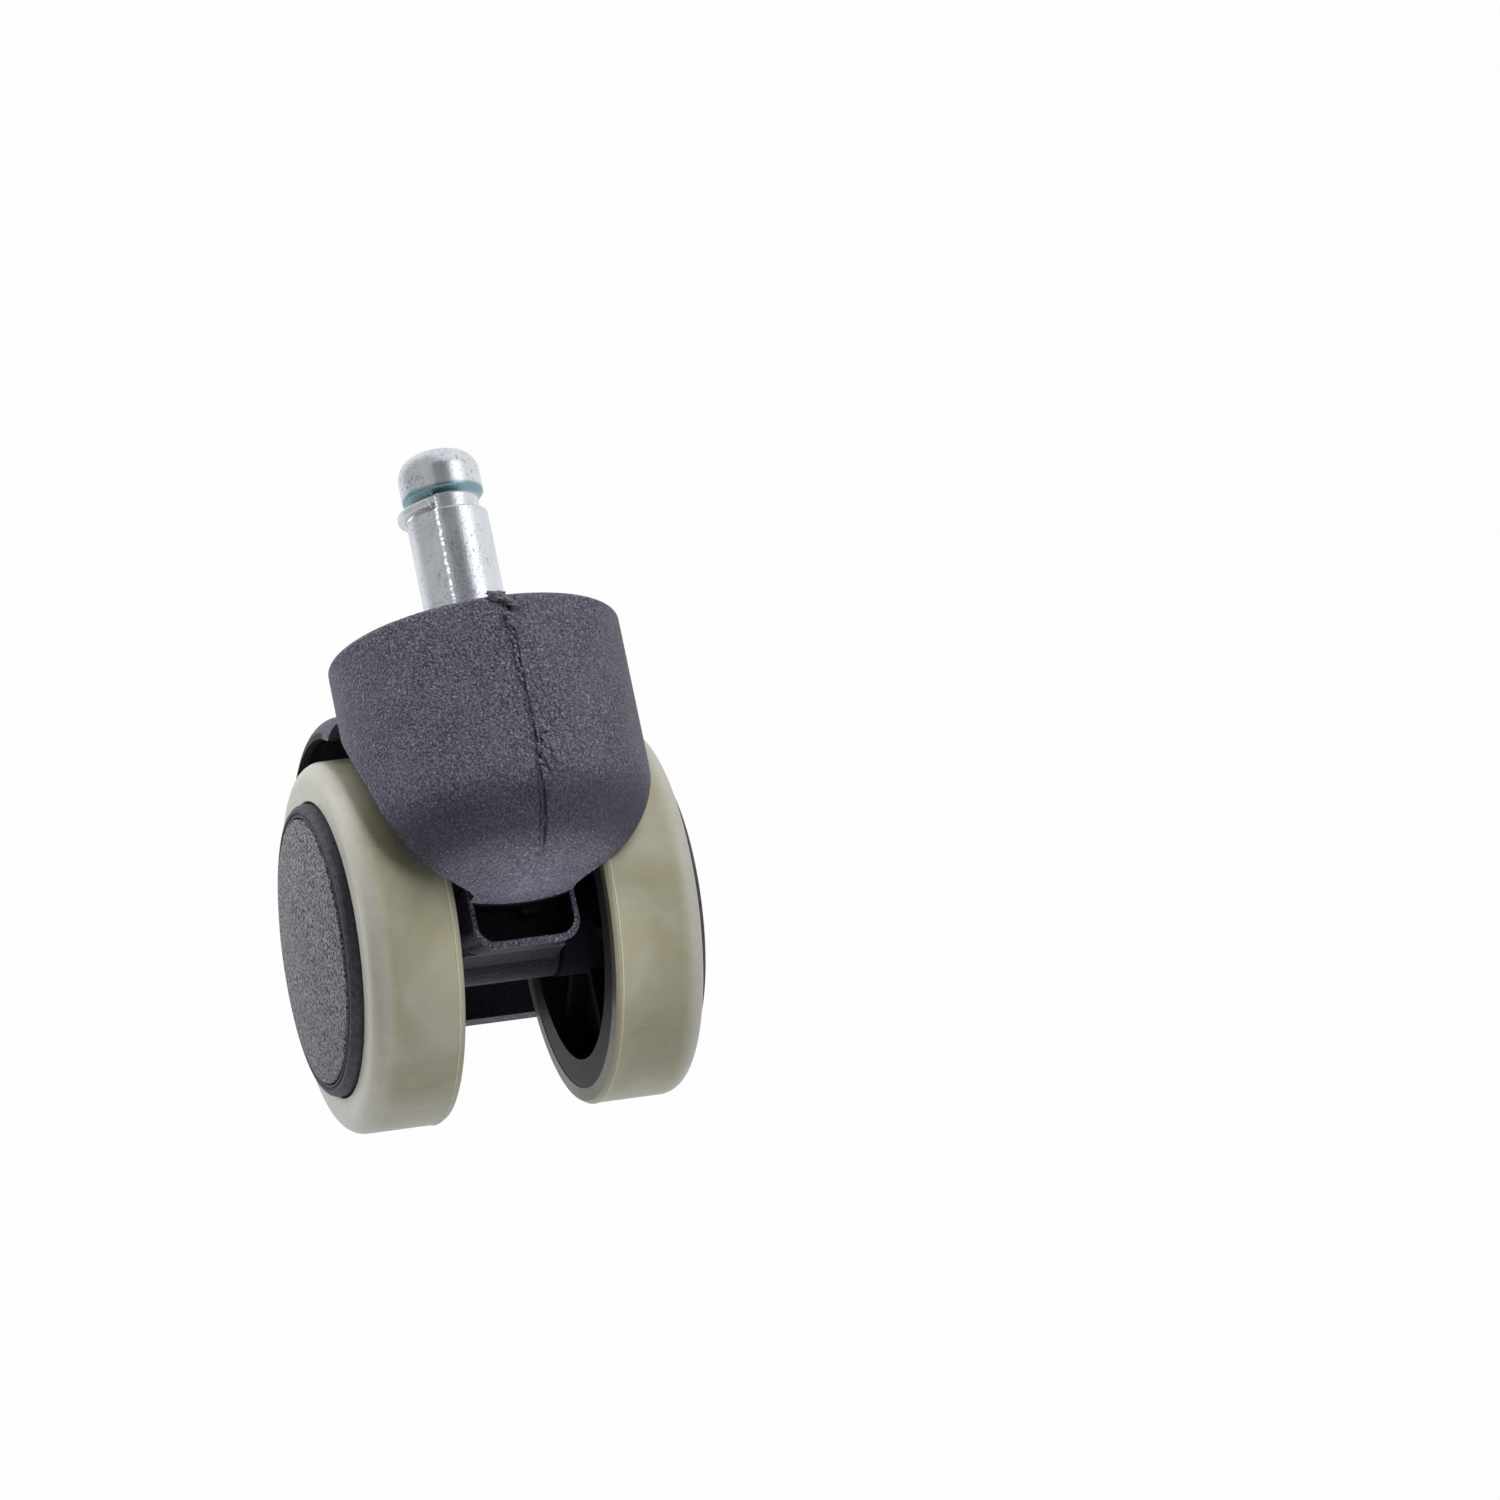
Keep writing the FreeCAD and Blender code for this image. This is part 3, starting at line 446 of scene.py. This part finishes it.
for side, tag in ((-1.0, "left"), (1.0, "right")):
    wheel = tag + "_wheel"
    # tread: soft tyre with a faint moulding witness near its inner edge
    tp = [(22.85, 10.30), (24.6, 10.30), (24.97, 10.85), (25.0, 11.06), (25.09, 11.13), (25.09, 11.25), (25.0, 11.32),
          (25.0, 22.85), (19.87, 22.85), (19.87, 21.6), (22.3, 19.12), (22.3, 11.8), (24.5, 11.8), (24.5, 10.45), (22.85, 10.45)]
    tr = [0.04, 0.22, 0.2, 0.03, 0.03, 0.03, 0.03, 5.0, 0.25, 0.1, 0.1, 0.1, 0.1, 0.03, 0.04]
    tread = lathe(tag + "_tread_tyre", fillet(tp, tr, 12), seg=240, side=side)
    place_piece(tread, M_TREAD, wheel, "tread_pu", tag + "_tread")
    # trim ring: outer round bead, fine groove, narrower inner bead
    cp = [(17.86, 21.6), (19.65, 21.6), (19.65, 23.3), (19.52, 23.95), (19.05, 24.38), (18.62, 24.42),
          (18.48, 24.16), (18.34, 24.16), (18.24, 24.44), (17.98, 24.44), (17.86, 24.2)]
    cr = [0.05, 0.05, 0.3, 0.35, 0.25, 0.1, 0.05, 0.05, 0.08, 0.08, 0.08]
    band = lathe(tag + "_trim_ring", fillet(cp, cr, 6), seg=220, side=side)
    place_piece(band, M_RING, wheel, "cap_plastic", tag + "_cap_ring")
    # cap: crowned disc with a small radius round its edge
    top = []
    for k in range(0, 15):
        w = k / 14.0
        rr = 17.74 * (1 - w)
        top.append((rr, 24.7 + 1.2 * (1 - (rr / 17.74) ** 2)))
    under = [(rr, h - 1.5) for rr, h in reversed(top) if rr < 15.9]
    cpts = [(15.84, 21.6), (17.74, 21.6)] + top + under
    crad = [0.1, 0.15, 0.28] + [0] * (len(cpts) - 3)
    cap = lathe(tag + "_cap_disc", fillet(cpts, crad, 5), seg=220, side=side)
    place_piece(cap, M_CAP, wheel, "cap_plastic", tag + "_cap")


# ------------------------------------------------------------------ moulding flash on the boss
def finish_mesh(name, bm):
    bmesh.ops.remove_doubles(bm, verts=bm.verts, dist=1e-7)
    bmesh.ops.recalc_face_normals(bm, faces=bm.faces)
    me = bpy.data.meshes.new(name)
    bm.to_mesh(me)
    bm.free()
    for p in me.polygons:
        p.use_smooth = True
    ob = bpy.data.objects.new(name, me)
    scene.collection.objects.link(ob)
    return ob


def meridian(w):
    """Point and outward normal (x, z) down the front of the boss, w from 0 at the rim to 1 under the bowl."""
    edge = math.acos(7.15 / 17.5)
    straight, arc, low = 21.0, 12.5 * edge, 30.0 * (math.radians(80) - edge)
    s_ = w * (straight + arc + low)
    if s_ <= straight:
        return 19.65, -4.6 - s_, 1.0, 0.0
    t = (s_ - straight) / 12.5
    if t <= edge:
        return 7.15 + 12.5 * math.cos(t), -25.6 - 12.5 * math.sin(t), math.cos(t), -math.sin(t)
    t = edge + (s_ - straight - arc) / 30.0
    return 30.0 * math.cos(t), -9.627 - 30.0 * math.sin(t), math.cos(t), -math.sin(t)


def seam_ridge():
    bm = bmesh.new()
    n = 420
    rows = []
    for i in range(n):
        w = i / (n - 1)
        px, pz, nx, nz = meridian(w)
        s_ = w * 42.7
        y0 = 0.16 * mnoise.noise(Vector((s_ * 0.35, 3.1, 0))) + 0.16 * mnoise.noise(Vector((s_ * 1.7, 7.7, 0)))
        y0 += 0.28 * max(0.0, min(1.0, (s_ - 3.0) / 10.0)) * max(0.0, min(1.0, (24.0 - s_) / 6.0))
        h = 0.20 + 0.16 * mnoise.noise(Vector((s_ * 0.8, 1.3, 5))) + 0.14 * mnoise.noise(Vector((s_ * 2.6, 2.2, 9)))
        h *= 1.0 - 0.75 * max(0.0, (w - 0.72) / 0.28)
        h = max(h, 0.02)
        wd = 0.22 + 0.10 * mnoise.noise(Vector((s_ * 1.2, 4.4, 2)))
        row = []
        for dy, dh in ((-wd, -0.06), (-wd * 0.55, h * 0.55), (-0.02, h), (wd * 0.35, h * 0.7), (wd * 0.7, -0.06)):
            row.append(bm.verts.new(((px + nx * dh) * MM, (y0 + dy) * MM, (pz + nz * dh) * MM)))
        rows.append(row)
    for a_, b_ in zip(rows, rows[1:]):
        for j in range(4):
            bm.faces.new((a_[j], a_[j + 1], b_[j + 1], b_[j]))
        bm.faces.new((a_[4], a_[0], b_[0], b_[4]))
    bm.faces.new(rows[0])
    bm.faces.new(list(reversed(rows[-1])))
    return finish_mesh("boss_parting_ridge", bm)


def lump(bm, y, z, size, seed, lean=0.0, rough=0.4, lat=12, lon=18, out=0.0):
    """Irregular crumb of flash sitting on the boss wall; size is (along y, along z, outwards) in mm."""
    az = math.asin(max(-1, min(1, y / 19.65)))
    nv = Vector((math.cos(az), math.sin(az), 0))
    tv = Vector((-math.sin(az), math.cos(az), 0))
    up = Vector((0, 0, 1))
    t2 = tv * math.cos(lean) + up * math.sin(lean)
    u2 = up * math.cos(lean) - tv * math.sin(lean)
    c0 = nv * (19.65 + out) + Vector((0, 0, z))
    grid = []
    for i in range(lat + 1):
        th = math.pi * i / lat
        row = []
        for j in range(lon):
            ph = 2 * math.pi * j / lon
            dv = Vector((math.sin(th) * math.cos(ph), math.sin(th) * math.sin(ph), math.cos(th)))
            k = 1 + rough * mnoise.noise(dv * 1.6 + Vector((seed, 0, 0))) + rough * 0.5 * mnoise.noise(dv * 4.1 + Vector((0, seed, 0)))
            p = c0 + t2 * (dv.x * size[0] * k) + u2 * (dv.y * size[1] * k) + nv * (dv.z * size[2] * k)
            row.append(bm.verts.new(p * MM))
            if i in (0, lat):
                break
        grid.append(row)
    for i in range(lat):
        a_, b_ = grid[i], grid[i + 1]
        for j in range(lon):
            k = (j + 1) % lon
            if len(a_) == 1:
                bm.faces.new((a_[0], b_[j], b_[k]))
            elif len(b_) == 1:
                bm.faces.new((a_[j], b_[0], a_[k]))
            else:
                bm.faces.new((a_[j], b_[j], b_[k], a_[k]))


def torn_flash():
    bm = bmesh.new()
    lump(bm, -0.60, -4.25, (1.45, 0.55, 0.62), 1.7, lean=-0.32, rough=0.8, out=0.20, lat=18, lon=26)
    lump(bm, 0.60, -5.25, (1.20, 0.46, 0.60), 4.2, lean=-0.55, rough=0.8, out=0.18, lat=18, lon=26)
    lump(bm, 0.05, -7.1, (0.55, 0.60, 0.60), 2.9, rough=0.9, out=0.14)
    lump(bm, 0.25, -8.1, (0.70, 0.60, 0.62), 6.1, rough=0.9, out=0.16)
    for k in range(12):
        lump(bm, 0.15 + 0.20 * math.sin(k * 2.3), -8.7 - 0.66 * k, (0.28, 0.34, 0.32), 10.0 + k, rough=0.8, out=0.08, lat=9, lon=13)
    return finish_mesh("boss_torn_flash", bm)


def gate_scar():
    bm = bmesh.new()
    for i in range(46):
        gx = mnoise.noise(Vector((i * 1.37, 0.5, 3.3)))
        gz = mnoise.noise(Vector((i * 2.11, 8.5, 1.3)))
        yy = 1.55 + gx * 2.6
        zz = -25.9 + gz * 4.6 + 0.5 * (yy - 1.55)
        if yy < 0.35 or zz > -22.9:
            continue
        r_ = 0.26 + 0.42 * abs(mnoise.noise(Vector((i * 0.9, 2.5, 6.0))))
        drop = max(0.0, -25.6 - zz)                     # the wall curves in below this level
        inset = 12.5 - math.sqrt(max(0.0, 12.5 ** 2 - drop ** 2))
        lump(bm, yy, zz, (r_, r_ * 1.25, r_ * 1.1), 30.0 + i, rough=0.8, out=0.08 - inset, lat=10, lon=15)
    return finish_mesh("boss_gate_scar", bm)


place_piece(seam_ridge(), M_NYLON, "swivel_body", "nylon_housing")
for ob in (torn_flash(), gate_scar()):
    place_piece(ob, M_FLASH, "swivel_body", "nylon_housing")

# ------------------------------------------------------------------ stage: floor, light, camera
def floor():
    me = bpy.data.meshes.new("studio_floor")
    z = (AZ - 25.0) * MM - 0.0002
    e = 3.0
    me.from_pydata([(-e, -e, z), (e, -e, z), (e, e, z), (-e, e, z)], [], [(0, 1, 2, 3)])
    ob = bpy.data.objects.new("studio_floor", me)
    scene.collection.objects.link(ob)
    m = bpy.data.materials.new("studio_floor_pale")
    m.use_nodes = True
    nt = m.node_tree
    nt.nodes.clear()
    out = nd(nt, "ShaderNodeOutputMaterial")
    dif = nd(nt, "ShaderNodeBsdfDiffuse", {"Color": (0.86, 0.86, 0.86, 1)})
    tr = nd(nt, "ShaderNodeBsdfTransparent")
    geo = nd(nt, "ShaderNodeNewGeometry")
    lpf = nd(nt, "ShaderNodeLightPath")
    above = nd(nt, "ShaderNodeMath", {0: 1.0, 1: geo.outputs["Backfacing"]}, operation="SUBTRACT")
    seen = nd(nt, "ShaderNodeMath", {0: above.outputs[0], 1: lpf.outputs["Is Camera Ray"]}, operation="MULTIPLY")
    mix = nd(nt, "ShaderNodeMixShader", {0: seen.outputs[0], 1: tr.outputs[0], 2: dif.outputs[0]})
    nt.links.new(mix.outputs[0], out.inputs[0])
    ob.data.materials.append(m)
    return ob


floor()

world = bpy.data.worlds.new("studio")
scene.world = world
world.use_nodes = True
wn = world.node_tree
wn.nodes.clear()
w_out = nd(wn, "ShaderNodeOutputWorld")
lp = nd(wn, "ShaderNodeLightPath")
w_tc = nd(wn, "ShaderNodeTexCoord")
w_cam = nd(wn, "ShaderNodeBackground", {"Color": (0.985, 0.985, 0.985, 1), "Strength": 1.0})
w_env = nd(wn, "ShaderNodeBackground", {"Color": (0.92, 0.94, 1.0, 1), "Strength": 0.22})
# what shiny faces mirror: a white room with a grey side and a dimmer panel in it
def lobe(az, el, c0, c1, v0, v1):
    d_ = Vector((math.cos(math.radians(az)) * math.cos(math.radians(el)),
                 math.sin(math.radians(az)) * math.cos(math.radians(el)), math.sin(math.radians(el))))
    dot = nd(wn, "ShaderNodeVectorMath", {0: w_tc.outputs["Generated"], 1: tuple(d_)}, operation="DOT_PRODUCT")
    mp = nd(wn, "ShaderNodeMapRange", {0: dot.outputs["Value"], 1: c0, 2: c1, 3: v0, 4: v1})
    mp.interpolation_type = "SMOOTHSTEP"
    return mp.outputs[0]


w_grey = nd(wn, "ShaderNodeMath", {0: lobe(-64, 12, 0.15, 0.74, 0.84, 0.46), 1: lobe(-7, 14, 0.84, 0.96, 0.84, 0.25)},
            operation="MINIMUM")
w_map = nd(wn, "ShaderNodeMath", {0: w_grey.outputs[0], 1: lobe(42, 16, 0.92, 0.98, 0.0, 1.35)}, operation="MAXIMUM")
w_gls = nd(wn, "ShaderNodeBackground", {"Color": (0.95, 0.97, 1.0, 1), "Strength": w_map.outputs[0]})
w_mix1 = nd(wn, "ShaderNodeMixShader", {0: lp.outputs["Is Glossy Ray"], 1: w_env.outputs[0], 2: w_gls.outputs[0]})
w_mix = nd(wn, "ShaderNodeMixShader", {0: lp.outputs["Is Camera Ray"], 1: w_mix1.outputs[0], 2: w_cam.outputs[0]})
wn.links.new(w_mix.outputs[0], w_out.inputs[0])


def area(name, az, el, dist, size, energy, color=(1, 1, 1), target=(-0.008, 0, -0.022), size_y=None):
    """Soft box at azimuth az (0 = +X, 90 = +Y) and elevation el from the target."""
    a, e = math.radians(az), math.radians(el)
    t = Vector(target)
    p = t + Vector((math.cos(a) * math.cos(e), math.sin(a) * math.cos(e), math.sin(e))) * dist
    ld = bpy.data.lights.new(name, "AREA")
    ld.shape = "RECTANGLE"
    ld.size = size
    ld.size_y = size_y or size
    ld.energy = energy
    ld.color = color
    ob = bpy.data.objects.new(name, ld)
    scene.collection.objects.link(ob)
    ob.matrix_world = Matrix.Translation(p) @ (t - p).to_track_quat("-Z", "Y").to_matrix().to_4x4()
    return ob


def matte_only(ob):
    """Light that shades the surfaces but leaves no mirror image in polished metal."""
    ob.visible_glossy = False
    return ob


matte_only(area("soft_left", -112, 28, 0.45, 0.26, 3.2, (0.98, 0.99, 1.0), size_y=0.40))
matte_only(area("soft_right", 24, 30, 0.55, 0.20, 4.4, (1.0, 0.99, 0.97), size_y=0.36))
matte_only(area("soft_top", -60, 74, 0.6, 0.35, 2.8))
matte_only(area("soft_front_low", -20, -46, 0.8, 0.5, 0.85))
matte_only(area("soft_below", -10, -84, 0.45, 0.14, 1.3))

# narrow lamp that lights only the bowl of the boss and the guard from below
sp = bpy.data.lights.new("bowl_lamp", "SPOT")
sp.energy = 4.0
sp.spot_size = math.radians(6.4)
sp.spot_blend = 0.9
sp.shadow_soft_size = 0.01
spo = bpy.data.objects.new("bowl_lamp", sp)
scene.collection.objects.link(spo)
sp_p, sp_t = Vector((0.060, 0.004, -0.290)), Vector((0.004, 0.001, -0.038))
spo.matrix_world = Matrix.Translation(sp_p) @ (sp_t - sp_p).to_track_quat("-Z", "Y").to_matrix().to_4x4()
matte_only(spo)

# camera at the photographed viewing angle
CAM_AZ, CAM_EL, CAM_ROLL = -16.934, -16.788, -12.046
f_px = 8138.567
a, e, r = (math.radians(v) for v in (CAM_AZ, CAM_EL, CAM_ROLL))
back = Vector((math.cos(a) * math.cos(e), math.sin(a) * math.cos(e), math.sin(e)))
xc = Vector((0, 0, 1)).cross(back).normalized()
yc = back.cross(xc)
x2 = math.cos(r) * xc + math.sin(r) * yc
y2 = -math.sin(r) * xc + math.cos(r) * yc
cam_data = bpy.data.cameras.new("camera")
cam_data.sensor_fit = "HORIZONTAL"
cam_data.sensor_width = 36.0
cam_data.lens = f_px / 1500.0 * 36.0
cam_data.clip_start = 0.05
cam_data.clip_end = 20.0
cam = bpy.data.objects.new("camera", cam_data)
scene.collection.objects.link(cam)
mw = Matrix((x2, y2, back)).transposed().to_4x4()
mw.translation = Vector((0.99429, -0.26812, -0.33282 - 0.0038))
cam.matrix_world = mw
scene.camera = cam
scene.view_settings.view_transform = "Standard"
